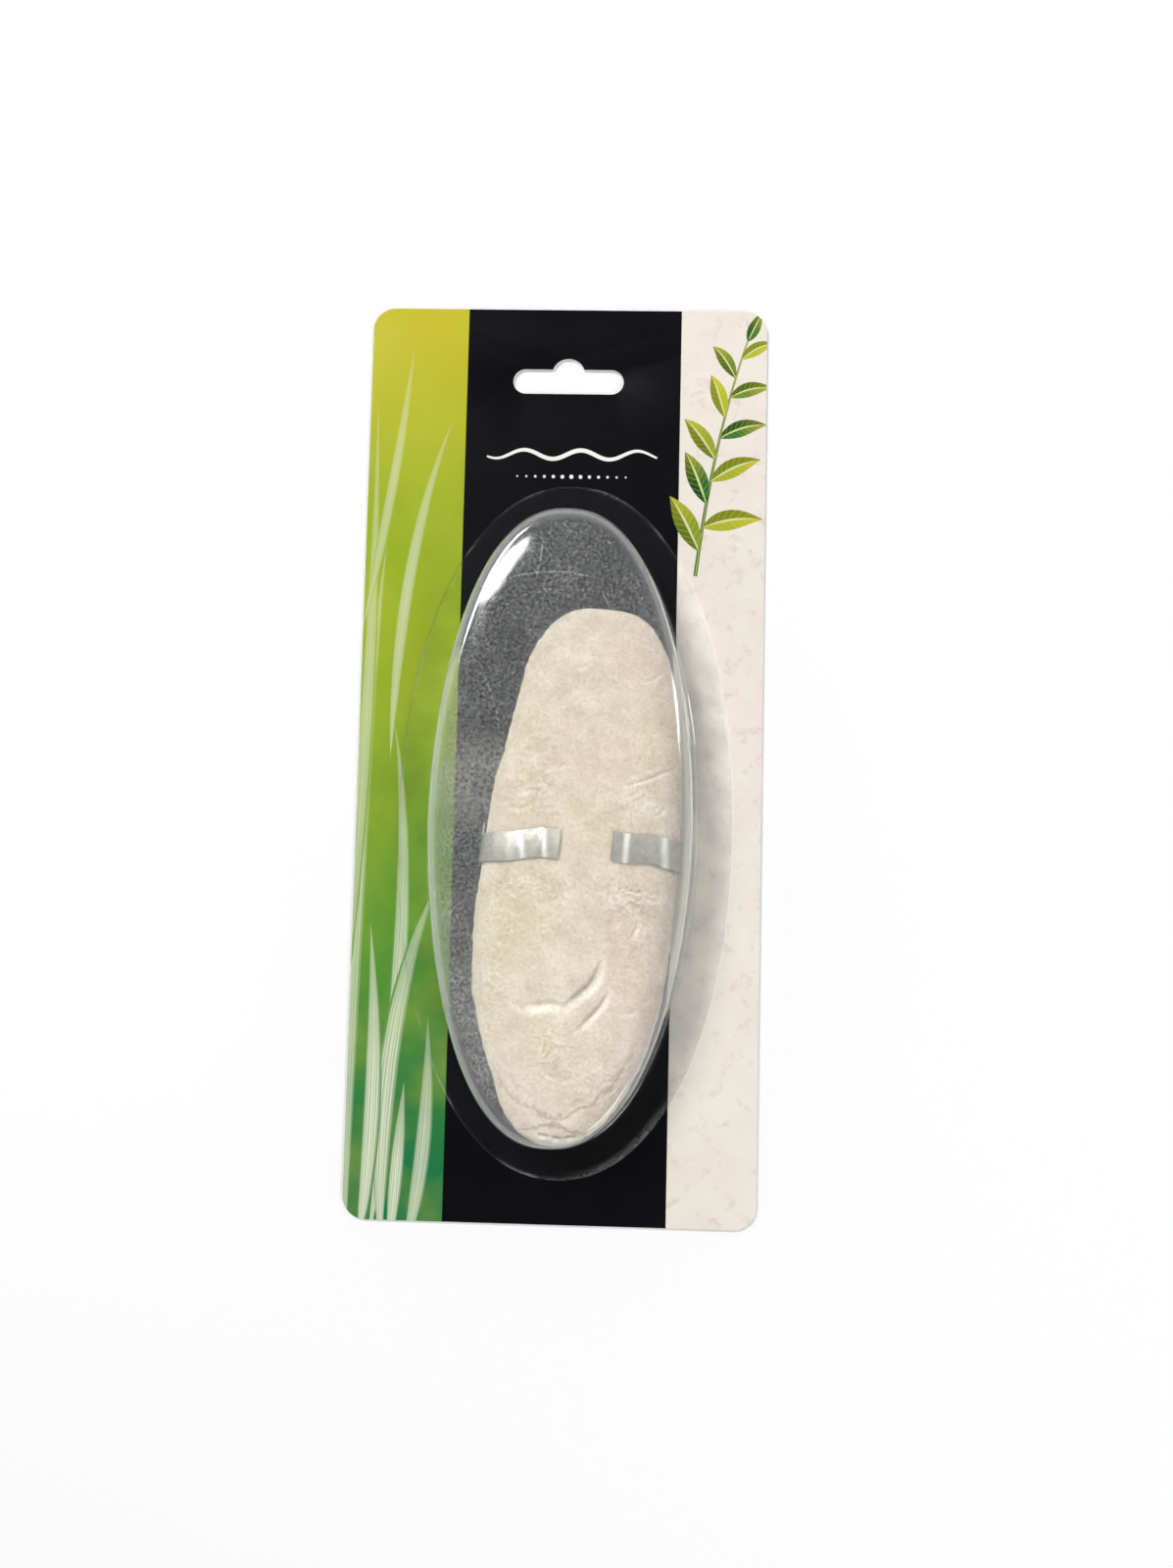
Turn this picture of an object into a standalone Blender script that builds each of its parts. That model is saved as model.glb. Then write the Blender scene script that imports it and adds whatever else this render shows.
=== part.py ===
"""Carded cuttlebone under a clear blister, lying on the back of its card.

Metres, +Z up out of the card's printed face and +Y towards the hang slot. The
origin is the middle of the card's back. The bone and its clip are shaped in the
bone's own frame: X across the bone, Y along it towards the broad end, and Z up,
with its origin under the bone's widest place.
"""

import math

import bmesh
import bpy
from mathutils import Vector, noise

MM = 0.001
GAP = 0.3 * MM  # left between pieces that touch

# Backing card
CARD_WIDTH = 114.3 * MM
CARD_HEIGHT = 260.0 * MM
CARD_THICKNESS = 0.6 * MM
CARD_CORNER_RADIUS = 6.5 * MM
CARD_CORNER_STEPS = 8
SLOT_LENGTH = 31.75 * MM
SLOT_WIDTH = 7.0 * MM
SLOT_Y = 108.5 * MM
SLOT_BUMP_RADIUS = 4.7 * MM
SLOT_BUMP_Y = 110.5 * MM
SLOT_STEPS = 12

# Blister: insets are measured inwards from the line where the dome leaves the flange
SHEET_THICKNESS = 0.35 * MM
FLANGE_CENTRE = (2.0 * MM, -20.15 * MM)
FLANGE_HALF_SIZE = (47.0 * MM, 97.6 * MM)
FLANGE_ROUNDNESS = (2.12, 2.12)  # powers of the oval along X and Y
FLANGE_WIDTH = 10.2 * MM
DOME_CENTRE = (1.45 * MM, -20.05 * MM)
DOME_HALF_SIZE = (37.4 * MM, 88.15 * MM)
DOME_ROUNDNESS = (2.32, 1.90)
DOME_SWAY = 1.0 * MM  # how far the dome's lower end stands towards -X
DOME_HEIGHT = 21.5 * MM  # above the card's face
DOME_DRAFT = 1.5 * MM  # how far the wall leans in over its height
FOOT_RADIUS = 1.0 * MM
SHOULDER_RADIUS = 4.2 * MM
CROWN_RISE = 1.2 * MM
CROWN_INSETS = (9.0 * MM, 17.0 * MM)
BLISTER_STEPS = 56

# Cuttlebone
BONE_WIDEST_AT = (5.7 * MM, -45.0 * MM)
BONE_LEAN = math.radians(4.7)  # the broad end leans towards +X
BONE_HALF_WIDTH = 26.9 * MM
BROAD_END = 85.3 * MM
NARROW_END = 61.2 * MM
FACE_HEIGHT = 9.3 * MM  # soft face, above the level of the bone's edge
BACK_DEPTH = 8.0 * MM  # hard shield, below the edge
NARROW_END_RISE = 6.5 * MM
NARROW_END_BOW = 0.9 * MM  # how far the middle of that half bows towards +X
# The left edge's stray from its plain curve: place along the bone and offset towards +X, in mm
LEFT_EDGE = (
    (-54.0, 0.0), (-45.0, 1.0), (-38.0, 0.2), (-30.0, -0.6), (-22.0, -1.3), (-8.0, -0.7),
    (8.0, 0.0), (34.0, 0.2), (44.0, 1.3), (60.0, 1.2), (70.0, 0.0),
)
EDGE_ROUNDING = 0.9  # powers of the cosine and sine in the bone's cross-section
FACE_ROUNDING = 0.8
BROAD_TAPER = (2.6, 1 / 3)  # powers in taper()
NARROW_TAPER = (2.0, 0.47)
THICKNESS_TAPER = (2.5, 1 / 2)
LUMPS = ((14.0, 0.5), (6.0, 0.35))  # spacing and height in mm
EDGE_CALM = 6  # power with which the relief fades towards the bone's edge
CLIP_BED = (17.5, 6.5, 3.0)  # middle, half width and blend in mm of the smooth band under the clip
STEP_FOOT = (0.9, 4.0)  # reach in mm of a growth step's cliff and of the slope below it
NARROW_ROWS = 42
BROAD_ROWS = 32
FACE_STEPS = 34
BACK_STEPS = 8
NARROW_BIAS, BROAD_BIAS, FACE_BIAS = 0.5, 0.75, 0.3  # how far the points draw to the ends

# Clip
CLIP_WIDTH = 8.0 * MM
CLIP_THICKNESS = 0.5 * MM
CLIP_Y = 19.0 * MM
CLIP_ARM_ENDS = (-5.5 * MM, 8.2 * MM)
ARM_END_RISE = (0.0 * MM, 1.0 * MM)  # from CLIP_Y to the middle of each arm's end
SIDE_RISE = (-4.4 * MM, -0.4 * MM)  # and to the middle of the strip at the bone's edges
CLIP_CLEARANCE = 0.35 * MM  # between the strip and the bone
CLIP_STEPS = 60
SPUR_HEIGHT = 3.6 * MM
SPUR_TURN = 176.0  # degrees round the bone
SPUR_SPAN = 6.0

# The bone's edge: its back rests on the strip, and the strip on the card
EDGE_LEVEL = CARD_THICKNESS + GAP + CLIP_THICKNESS + CLIP_CLEARANCE + BACK_DEPTH


def make_object(name, mesh_builder, colour, roughness, metallic=0.0, alpha=1.0):
    """One named object with its own material, from a bmesh that is closed."""
    bmesh.ops.recalc_face_normals(mesh_builder, faces=mesh_builder.faces)
    mesh = bpy.data.meshes.new(name)
    mesh_builder.to_mesh(mesh)
    mesh_builder.free()
    mesh.shade_smooth()
    mesh.set_sharp_from_angle(angle=math.radians(35))
    piece = bpy.data.objects.new(name, mesh)
    bpy.context.collection.objects.link(piece)
    material = bpy.data.materials.new(name)
    material.use_nodes = True
    shader = material.node_tree.nodes["Principled BSDF"]
    shader.inputs["Base Color"].default_value = (*colour, 1.0)
    shader.inputs["Roughness"].default_value = roughness
    shader.inputs["Metallic"].default_value = metallic
    shader.inputs["Alpha"].default_value = alpha
    mesh.materials.append(material)
    return piece


def prism(outline, low, high):
    """A bmesh prism on a flat outline, a list of (x, y)."""
    builder = bmesh.new()
    face = builder.faces.new([builder.verts.new((x, y, low)) for x, y in outline])
    raised = bmesh.ops.extrude_face_region(builder, geom=[face])["geom"]
    top = [v for v in raised if isinstance(v, bmesh.types.BMVert)]
    bmesh.ops.translate(builder, verts=top, vec=(0, 0, high - low))
    return builder


def arc(centre, radius, start, end, steps):
    """Points on an arc, angles in degrees, both ends included."""
    points = []
    for i in range(steps + 1):
        angle = math.radians(start + (end - start) * i / steps)
        points.append((centre[0] + radius * math.cos(angle), centre[1] + radius * math.sin(angle)))
    return points


def card_outline():
    """The card's rounded rectangle."""
    x = CARD_WIDTH / 2 - CARD_CORNER_RADIUS
    y = CARD_HEIGHT / 2 - CARD_CORNER_RADIUS
    outline = []
    for quarter, (sx, sy) in enumerate(((1, 1), (-1, 1), (-1, -1), (1, -1))):
        start = 90 * quarter
        outline += arc((sx * x, sy * y), CARD_CORNER_RADIUS, start, start + 90, CARD_CORNER_STEPS)
    return outline


def slot_cutter(name, outline):
    """A cutter that runs past both faces of the card."""
    cutter = make_object(name, prism(outline, -CARD_THICKNESS, 2 * CARD_THICKNESS), (1, 0, 0), 1.0)
    cutter.hide_render = True
    cutter.display_type = "WIRE"
    return cutter


def backing_card():
    """The card, with its hang slot: a bar with round ends and a bump on its middle."""
    card = make_object("backing_card", prism(card_outline(), 0, CARD_THICKNESS), (0.10, 0.22, 0.06), 0.35)
    end_x = SLOT_LENGTH / 2 - SLOT_WIDTH / 2
    bar = arc((end_x, SLOT_Y), SLOT_WIDTH / 2, -90, 90, SLOT_STEPS)
    bar += arc((-end_x, SLOT_Y), SLOT_WIDTH / 2, 90, 270, SLOT_STEPS)
    bump = arc((0, SLOT_BUMP_Y), SLOT_BUMP_RADIUS, 0, 360, 2 * SLOT_STEPS)[:-1]
    for name, outline in (("slot_bar_cutter", bar), ("slot_bump_cutter", bump)):
        cut = card.modifiers.new(name, "BOOLEAN")
        cut.operation = "DIFFERENCE"
        cut.solver = "EXACT"
        cut.object = slot_cutter(name, outline)


def blister_outline(inset):
    """The oval at an inset: the dome's own inside it, and from there out to the flange's edge."""
    outward = min(max(-inset / FLANGE_WIDTH, 0.0), 1.0)
    cx, cy = (d + (f - d) * outward for d, f in zip(DOME_CENTRE, FLANGE_CENTRE))
    power_x, power_y = (
        d + (f - d) * outward for d, f in zip(DOME_ROUNDNESS, FLANGE_ROUNDNESS)
    )
    half_x, half_y = (
        (d - max(inset, 0.0)) * (1 - outward) + f * outward
        for d, f in zip(DOME_HALF_SIZE, FLANGE_HALF_SIZE)
    )
    ring = []
    for i in range(BLISTER_STEPS):
        angle = 2 * math.pi * i / BLISTER_STEPS
        c, s = math.cos(angle), math.sin(angle)
        up = math.copysign(abs(s) ** (2 / power_y), s)
        sway = DOME_SWAY * (1 - outward) * min(up, 0.0) ** 2
        ring.append((cx + half_x * math.copysign(abs(c) ** (2 / power_x), c) - sway, cy + half_y * up))
    return ring


def blister_profile():
    """The formed sheet's upper face, from the flange's edge to the crown, as (inset, height)."""
    flange_top = CARD_THICKNESS + GAP + SHEET_THICKNESS
    crown_edge = CARD_THICKNESS + DOME_HEIGHT - CROWN_RISE
    wall_low = flange_top + FOOT_RADIUS
    wall_high = crown_edge - SHOULDER_RADIUS
    foot = arc((-FOOT_RADIUS, wall_low), FOOT_RADIUS, -90, 0, 1)
    shoulder = arc((DOME_DRAFT + SHOULDER_RADIUS, wall_high), SHOULDER_RADIUS, 180, 90, 4)
    crown = [
        (CROWN_INSETS[0], crown_edge + 1 / 2 * CROWN_RISE),
        (CROWN_INSETS[1], crown_edge + CROWN_RISE),
    ]
    return [(-FLANGE_WIDTH, flange_top)] + foot + shoulder + crown


def under_side(profile):
    """The profile's other face, one sheet thickness below or inside it."""
    offset = []
    for i, (inset, height) in enumerate(profile):
        before = profile[max(i - 1, 0)]
        after = profile[min(i + 1, len(profile) - 1)]
        run = Vector((after[0] - before[0], after[1] - before[1])).normalized()
        if i in (0, len(profile) - 1):
            run = Vector((1, 0))  # the flange's edge and the crown stay square to the card
        offset.append((inset + run.y * SHEET_THICKNESS, height - run.x * SHEET_THICKNESS))
    return offset


def blister():
    """One clear sheet, formed into a flat flange and a dome."""
    profile = blister_profile()
    loop = profile[::-1] + under_side(profile)
    builder = bmesh.new()
    rings = [
        [builder.verts.new((x, y, height)) for x, y in blister_outline(inset)]
        for inset, height in loop
    ]
    for lower, upper in zip(rings, rings[1:]):
        for i in range(BLISTER_STEPS):
            j = (i + 1) % BLISTER_STEPS
            builder.faces.new((lower[i], lower[j], upper[j], upper[i]))
    for cap in (rings[0], rings[-1]):
        builder.faces.new(cap)
    make_object("blister", builder, (0.85, 0.88, 0.87), 0.06, alpha=0.25)


# Marks pressed and scraped into the soft face: points in mm in the bone's frame,
# from its widest place, then half width and depth in mm
FACE_MARKS = (
    ([(8.1, -12.6), (6.4, -16.9), (3.5, -20.1), (0.6, -23.0)], 1.9, 1.3),  # long gouge
    ([(11.5, -19.6), (7.9, -25.0), (4.0, -29.3)], 1.7, 1.2),
    ([(0.6, -23.0), (-4.1, -23.2), (-10.0, -24.9)], 1.7, 0.9),
    ([(-6.3, 67.3), (-3.0, 68.8)], 1.4, 0.6),
    ([(12.3, 65.4), (17.3, 68.9)], 1.4, 0.6),
    ([(11.2, 36.7), (17.0, 39.3), (22.9, 42.6)], 1.6, 0.8),
    ([(18.4, 29.1), (22.1, 31.9)], 1.4, 0.6),
    ([(-21.3, 27.6), (-14.0, 28.9)], 1.6, 0.6),
    ([(15.1, -24.0), (17.7, -23.2)], 1.4, 0.6),
    ([(15.2, -4.4), (17.1, -0.3)], 1.4, 0.5),
    ([(13.7, 8.2), (17.1, 8.3), (19.9, 9.5)], 1.4, 0.5),
    ([(-1.6, -41.7), (2.1, -42.8)], 2.2, 0.8),  # a pressed dent
)

# Growth lines across the narrow end: each is a step down towards that end
GROWTH_STEPS = (
    ([(-19, -41), (-15.4, -46.9), (-8.6, -50.5), (0.6, -53.4), (9.1, -49), (15, -42), (19.1, -32)], 0.7),
    ([(-9, -57.5), (-4.1, -56.2), (0.5, -54.8), (5.4, -56.1), (9, -57)], 0.5),
)


def along_bone(y):
    """How far y is from the widest place, as a share of the way to that end."""
    return y / BROAD_END if y > 0 else -y / NARROW_END


def taper(y, powers):
    """A share that falls from 1 at the widest place to 0 at both ends."""
    return (1 - min(along_bone(y), 1.0) ** powers[0]) ** powers[1]


def bone_half_width(y):
    """Half the bone's width: a blunt broad end and an oval narrow end."""
    return BONE_HALF_WIDTH * taper(y, BROAD_TAPER if y > 0 else NARROW_TAPER)


def bone_thickness(y):
    """The share of its full thickness that the bone has at y."""
    return taper(y, THICKNESS_TAPER)


def edge_level(y):
    """The height of the bone's edge, which rises to the narrow end."""
    return EDGE_LEVEL + (NARROW_END_RISE * along_bone(y) ** 2 if y < 0 else 0.0)


def bow(y):
    """How far the narrow half stands towards +X of the bone's straight line."""
    return NARROW_END_BOW * math.sin(math.pi * along_bone(y)) if y < 0 else 0.0


def edge_stray(x, y):
    """How far a place moves towards +X, all of the left edge's stray at that edge."""
    for (low, before), (high, after) in zip(LEFT_EDGE, LEFT_EDGE[1:]):
        if low <= y / MM < high:
            share = (1 - math.cos(math.pi * (y / MM - low) / (high - low))) / 2
            return (before + (after - before) * share) * MM * max(-x, 0.0) / bone_half_width(y)
    return 0.0


def bone_point(y, turn, lift=0.0):
    """A point on the plain bone, turn in degrees: 0 at the +X edge, 90 on the face, 270 on
    the back. lift stands it off the surface."""
    c, s = math.cos(math.radians(turn)), math.sin(math.radians(turn))
    half_width = bone_half_width(y) + lift
    reach = (FACE_HEIGHT if s > 0 else BACK_DEPTH) * bone_thickness(y) + lift
    x = half_width * math.copysign(abs(c) ** EDGE_ROUNDING, c)
    return Vector((x, y, edge_level(y) + reach * math.copysign(abs(s) ** FACE_ROUNDING, s)))


def nearest_on_mark(x, y, points):
    """How far a place on the face is from a mark's line, in mm: above 0 on the broad end's side."""
    place = Vector((x, y)) / MM
    best = math.inf
    for start, end in zip(points, points[1:]):
        run = Vector(end) - Vector(start)
        along = min(max((place - Vector(start)).dot(run) / run.length_squared, 0.0), 1.0)
        away = place - Vector(start) - run * along
        if away.length < abs(best):
            best = math.copysign(away.length, away.y)
    return best


def face_relief(x, y):
    """Lumps, dents, gouges and growth steps of the soft face, flat under the clip."""
    place = Vector((x, y, 0)) / MM
    height = sum(rise * noise.noise(place / spacing) for spacing, rise in LUMPS)
    for points, half_width, depth in FACE_MARKS:
        away = nearest_on_mark(x, y, points) / half_width
        height -= depth * math.exp(-away * away)
    for points, drop in GROWTH_STEPS:
        away = nearest_on_mark(x, y, points)
        height -= drop * math.exp(-(away / STEP_FOOT[0 if away > 0 else 1]) ** 2)
    middle, half_width, blend = CLIP_BED
    clear_of_clip = min(max((abs(y / MM - middle) - half_width) / blend, 0.0), 1.0)
    clear_of_edge = 1 - min(abs(x) / bone_half_width(y), 1.0) ** EDGE_CALM
    return height * MM * clear_of_clip * clear_of_edge * bone_thickness(y)


def spread(share, bias):
    """A share from -1 to 1, moved out so that even shares end up closer at both ends."""
    return (1 - bias) * share + bias * math.sin(share * math.pi / 2)


def face_turn(x_share):
    """The turn at which the face lies at a share of the half width, from -1 to 1."""
    return math.degrees(math.acos(math.copysign(abs(x_share) ** (1 / EDGE_ROUNDING), x_share)))


def bone_turns():
    """The directions round the bone at which it has points."""
    face = [face_turn(spread(1 - 2 * i / FACE_STEPS, FACE_BIAS)) for i in range(FACE_STEPS)]
    back = [180 + 180 * i / BACK_STEPS for i in range(BACK_STEPS)]
    return face + back


def bone_rows():
    """Where along the bone it has a ring of points, finer on the half with the marks."""
    narrow = [NARROW_END * spread(i / NARROW_ROWS, NARROW_BIAS) for i in range(1 - NARROW_ROWS, 0)]
    broad = [BROAD_END * spread(i / BROAD_ROWS, BROAD_BIAS) for i in range(BROAD_ROWS)]
    return narrow + broad


def cuttlebone(frame):
    """One solid: a ring of points for each row, and a tip at each end."""
    builder = bmesh.new()
    rings = []
    for y in bone_rows():
        ring = []
        for turn in bone_turns():
            point = bone_point(y, turn)
            if 0 < turn < 180:
                point.z += face_relief(point.x, y)
            point.x += bow(y) + edge_stray(point.x, y)
            ring.append(builder.verts.new(point))
        rings.append(ring)
    for ring, after in zip(rings, rings[1:]):
        for i, here in enumerate(ring):
            j = (i + 1) % len(ring)
            builder.faces.new((here, ring[j], after[i]))  # split the way the gouges run
            builder.faces.new((ring[j], after[j], after[i]))
    for ring, y in ((rings[0], -NARROW_END), (rings[-1], BROAD_END)):
        tip = builder.verts.new((0, y, edge_level(y)))
        for i, here in enumerate(ring):
            builder.faces.new((here, ring[(i + 1) % len(ring)], tip))
    bone = make_object("cuttlebone", builder, (0.80, 0.70, 0.57), 0.85)
    bone.parent = frame


def clip_turns():
    """Turns along the strip: from the left arm's end, round the back, to the right arm's."""
    start, end = (face_turn(x / bone_half_width(CLIP_Y)) for x in CLIP_ARM_ENDS)
    return [start + (end + 360 - start) * i / CLIP_STEPS for i in range(CLIP_STEPS + 1)]


def clip_centre(turn):
    """The middle of the strip's width at a turn, straight between four places: the left
    arm's end, the left edge of the bone, its right edge, and the right arm's end."""
    turns = clip_turns()
    places = (turns[0], 180, 360, turns[-1])
    rises = (ARM_END_RISE[0], *SIDE_RISE, ARM_END_RISE[1])
    for here, there, low, high in zip(places, places[1:], rises, rises[1:]):
        if turn <= there:
            break
    return CLIP_Y + low + (high - low) * (turn - here) / (there - here)


def clip(frame):
    """One strip of sheet metal, bent round the bone, with a small spur cut on its left side."""
    builder = bmesh.new()
    rings = []
    for turn in clip_turns():
        centre = clip_centre(turn)
        spur = SPUR_HEIGHT * max(0.0, 1 - abs(turn - SPUR_TURN) / SPUR_SPAN)
        low, high = centre - CLIP_WIDTH / 2, centre + CLIP_WIDTH / 2 + spur
        inner, outer = CLIP_CLEARANCE, CLIP_CLEARANCE + CLIP_THICKNESS
        corners = ((low, inner), (high, inner), (high, outer), (low, outer))
        rings.append([builder.verts.new(bone_point(y, turn, lift)) for y, lift in corners])
    for ring, after in zip(rings, rings[1:]):
        for i in range(4):
            j = (i + 1) % 4
            builder.faces.new((ring[i], ring[j], after[j], after[i]))
    for cap in (rings[0], rings[-1]):
        builder.faces.new(cap)
    strip = make_object("clip", builder, (0.45, 0.45, 0.45), 0.4, metallic=1.0)
    strip.parent = frame


def bone_frame():
    """The empty that carries the bone and its clip."""
    frame = bpy.data.objects.new("bone_frame", None)
    frame.location = (*BONE_WIDEST_AT, 0)
    frame.rotation_euler = (0, 0, -BONE_LEAN)
    bpy.context.collection.objects.link(frame)
    return frame


def main():
    """Builds the pack in an empty scene."""
    for old in list(bpy.data.objects):
        bpy.data.objects.remove(old, do_unlink=True)
    backing_card()
    blister()
    frame = bone_frame()
    cuttlebone(frame)
    clip(frame)
    bpy.context.view_layer.update()


main()
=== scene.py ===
"""Looks of a carded cuttlebone under a clear blister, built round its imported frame.

+Z points out of the card's printed face and +Y towards the hang slot, and the origin is the
middle of the card's back. Sizes are in millimetres, and become metres as a mesh is made.
"""

import functools
import math

import bmesh
import bpy
import numpy as np
from mathutils import Matrix, Quaternion, Vector, noise
from mathutils.geometry import delaunay_2d_cdt


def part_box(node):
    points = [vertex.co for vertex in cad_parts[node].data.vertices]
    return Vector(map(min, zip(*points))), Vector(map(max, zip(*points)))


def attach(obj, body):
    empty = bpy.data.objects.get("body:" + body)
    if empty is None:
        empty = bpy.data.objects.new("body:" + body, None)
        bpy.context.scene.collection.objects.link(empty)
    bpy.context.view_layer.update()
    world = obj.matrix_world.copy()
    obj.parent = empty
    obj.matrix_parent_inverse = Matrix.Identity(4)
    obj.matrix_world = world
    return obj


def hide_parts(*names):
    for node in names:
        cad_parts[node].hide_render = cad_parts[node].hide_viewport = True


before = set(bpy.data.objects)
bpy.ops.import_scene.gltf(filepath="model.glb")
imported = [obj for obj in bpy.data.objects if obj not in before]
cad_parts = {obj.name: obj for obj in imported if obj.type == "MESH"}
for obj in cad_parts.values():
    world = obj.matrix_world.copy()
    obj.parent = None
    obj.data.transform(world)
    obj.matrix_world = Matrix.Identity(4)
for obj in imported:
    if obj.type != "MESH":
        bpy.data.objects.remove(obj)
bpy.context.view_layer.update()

# Backing card
# One blank of coated white board, offset printed and varnished on its front, then die-cut with
# rounded corners and a hang slot. Its back is left as bare grey-white board.
MM = 0.001
card_low, card_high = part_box("backing_card")
CARD_WIDTH, CARD_HEIGHT, CARD_THICKNESS = (card_high - card_low) / MM
CARD_CORNER_RADIUS = 6.5
CARD_CORNER_STEPS = 20
SLOT_LENGTH = 31.75
SLOT_WIDTH = 7.0
SLOT_Y = 108.5
SLOT_BUMP_RADIUS = 4.7
SLOT_BUMP_Y = 110.5
SLOT_STEPS = 24
CUT_EDGE_STEPS = ((0.05, 0.02), (0.05, 0.07), (0.0, 0.45), (-0.03, 0.06))  # outwards and down


def arc(centre, radius, start, end, steps):
    """Points on an arc, angles in degrees, both ends included."""
    turns = np.radians(np.linspace(start, end, steps + 1))
    return np.stack([centre[0] + radius * np.cos(turns), centre[1] + radius * np.sin(turns)], 1)


def card_outline(inset):
    """The card's rounded rectangle, drawn in by inset."""
    radius = CARD_CORNER_RADIUS - inset
    x, y = CARD_WIDTH / 2 - CARD_CORNER_RADIUS, CARD_HEIGHT / 2 - CARD_CORNER_RADIUS
    corners = ((x, y), (-x, y), (-x, -y), (x, -y))
    return np.vstack([
        arc(corner, radius, 90 * quarter, 90 * quarter + 90, CARD_CORNER_STEPS)
        for quarter, corner in enumerate(corners)
    ])


def slot_outline(inset):
    """The hang slot: a bar with round ends and a round bump on its upper side."""
    radius = SLOT_WIDTH / 2 + inset
    bump_radius = SLOT_BUMP_RADIUS + inset
    end_x = (SLOT_LENGTH - SLOT_WIDTH) / 2
    meet = math.degrees(math.asin((SLOT_Y + radius - SLOT_BUMP_Y) / bump_radius))
    return np.vstack([
        arc((end_x, SLOT_Y), radius, -90, 90, SLOT_STEPS),
        arc((0, SLOT_BUMP_Y), bump_radius, meet, 180 - meet, SLOT_STEPS),
        arc((-end_x, SLOT_Y), radius, 90, 270, SLOT_STEPS),
    ])


# The print: reeds on the green panel, a leafy sprig on the cream one, a rule on the black band
GREEN_PANEL_END, BLACK_BAND_END = -29.3, 32.4
REED, LEAF, WHITE_INK = 1.0, 2.0, 3.0
REEDS = (  # root, bend, tip, half width and tone
    ((-56, -140), (-59, -30), (-51, 62), 2.7, 0.5),
    ((-50, -140), (-38, -40), (-47, 8), 2.3, 0.8),
    ((-60, -90), (-53, 10), (-55, 104), 2.0, 0.3),
    ((-46, -140), (-50, -75), (-33, -36), 2.9, 0.9),
    ((-53, -140), (-47, -100), (-52, -48), 2.5, 1.0),
    ((-40, -140), (-33, -112), (-35, -74), 2.4, 0.7),
    ((-44, -140), (-42, -112), (-41, -92), 2.0, 1.0),
    ((-48, -2), (-47, 60), (-33, 97), 1.9, 0.4),
    ((-57, 36), (-48, 84), (-45, 119), 1.6, 0.2),
)
SPRIG_STEM = ((37.5, 52.0), (42.0, 92.0), (51.5, 121.0))
SPRIG_LEAVES = 11
SPRIG_LEAF_LENGTH = (19.0, 10.0)  # at the stem's foot and at its tip
RULE_START, RULE_END = -23.0, 26.0
RULE_Y, RULE_WAVES, RULE_HEIGHT, RULE_HALF_WIDTH = 87.0, 3.0, 1.3, 0.62
DOTS_Y, DOTS, DOT_SPACING = 80.5, 13, 2.6
DOT_RADIUS, DOT_SHRINK = 0.62, 0.06  # of the middle dot, and from each dot to the next


def bezier(root, bend, tip, steps):
    """Points on a plain curve from root to tip, drawn towards bend."""
    share = np.linspace(0, 1, steps + 1)[:, None]
    ends = (1 - share) ** 2 * np.array(root) + share ** 2 * np.array(tip)
    return ends + 2 * share * (1 - share) * np.array(bend)


def band_outline(spine, half_widths):
    """The outline of a band round its spine."""
    run = np.gradient(spine, axis=0)
    run /= np.linalg.norm(run, axis=1)[:, None]
    side = np.stack([-run[:, 1], run[:, 0]], 1) * half_widths[:, None]
    return np.vstack([spine - side, (spine + side)[::-1]])


def leaf_widths(steps, half_width, fullest):
    """Half widths of a leaf along its midrib, widest at the share fullest of its length."""
    share = np.linspace(0, 1, steps + 1) ** (math.log(0.5) / math.log(fullest))
    return half_width * np.sin(np.pi * share) + 0.02


def printed_motifs():
    """Every printed shape as ink, spine, half widths and tone, the lowest layer first."""
    motifs = []
    for root, bend, tip, half_width, tone in REEDS:
        motifs.append((REED, bezier(root, bend, tip, 24), leaf_widths(24, half_width, 0.45), tone))
    stem = bezier(*SPRIG_STEM, 20)
    motifs.append((LEAF, stem, np.linspace(0.55, 0.25, 21), 0.2))
    for i in range(SPRIG_LEAVES):
        share = (i + 1) / SPRIG_LEAVES
        foot = bezier(*SPRIG_STEM, SPRIG_LEAVES)[i + 1]
        length = SPRIG_LEAF_LENGTH[0] + (SPRIG_LEAF_LENGTH[1] - SPRIG_LEAF_LENGTH[0]) * share
        side = 0 if i == SPRIG_LEAVES - 1 else (-1, 1)[i % 2]
        turn = math.radians(68 - 50 * side + 10 * math.sin(5 * i))
        reach = length * np.array((math.cos(turn), math.sin(turn)))
        bend = foot + reach * 0.5 + np.array((0, 2.4)) * abs(side)
        spine = bezier(foot, bend, foot + reach, 14)
        tone = 0.5 + 0.5 * math.sin(2.3 * i)
        motifs.append((LEAF, spine, leaf_widths(14, length * 0.17, 0.42), tone))
    x = np.linspace(RULE_START, RULE_END, 61)
    swing = np.sin(x / (RULE_END - RULE_START) * 2 * math.pi * RULE_WAVES)
    widths = RULE_HALF_WIDTH * np.sin(np.linspace(0.06, 0.94, 61) * math.pi) ** 0.5
    motifs.append((WHITE_INK, np.stack([x, RULE_Y + RULE_HEIGHT * swing], 1), widths, 1.0))
    for i in range(DOTS):
        off_middle = i - (DOTS - 1) / 2
        x = (RULE_START + RULE_END) / 2 + DOT_SPACING * off_middle
        radius = DOT_RADIUS - DOT_SHRINK * abs(off_middle)
        spine = np.stack([np.linspace(x - radius, x + radius, 9), np.full(9, DOTS_Y)], 1)
        widths = radius * np.sin(np.linspace(0, math.pi, 9)) ** 0.5 + 0.01
        motifs.append((WHITE_INK, spine, widths, 0.8))
    return motifs


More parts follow.
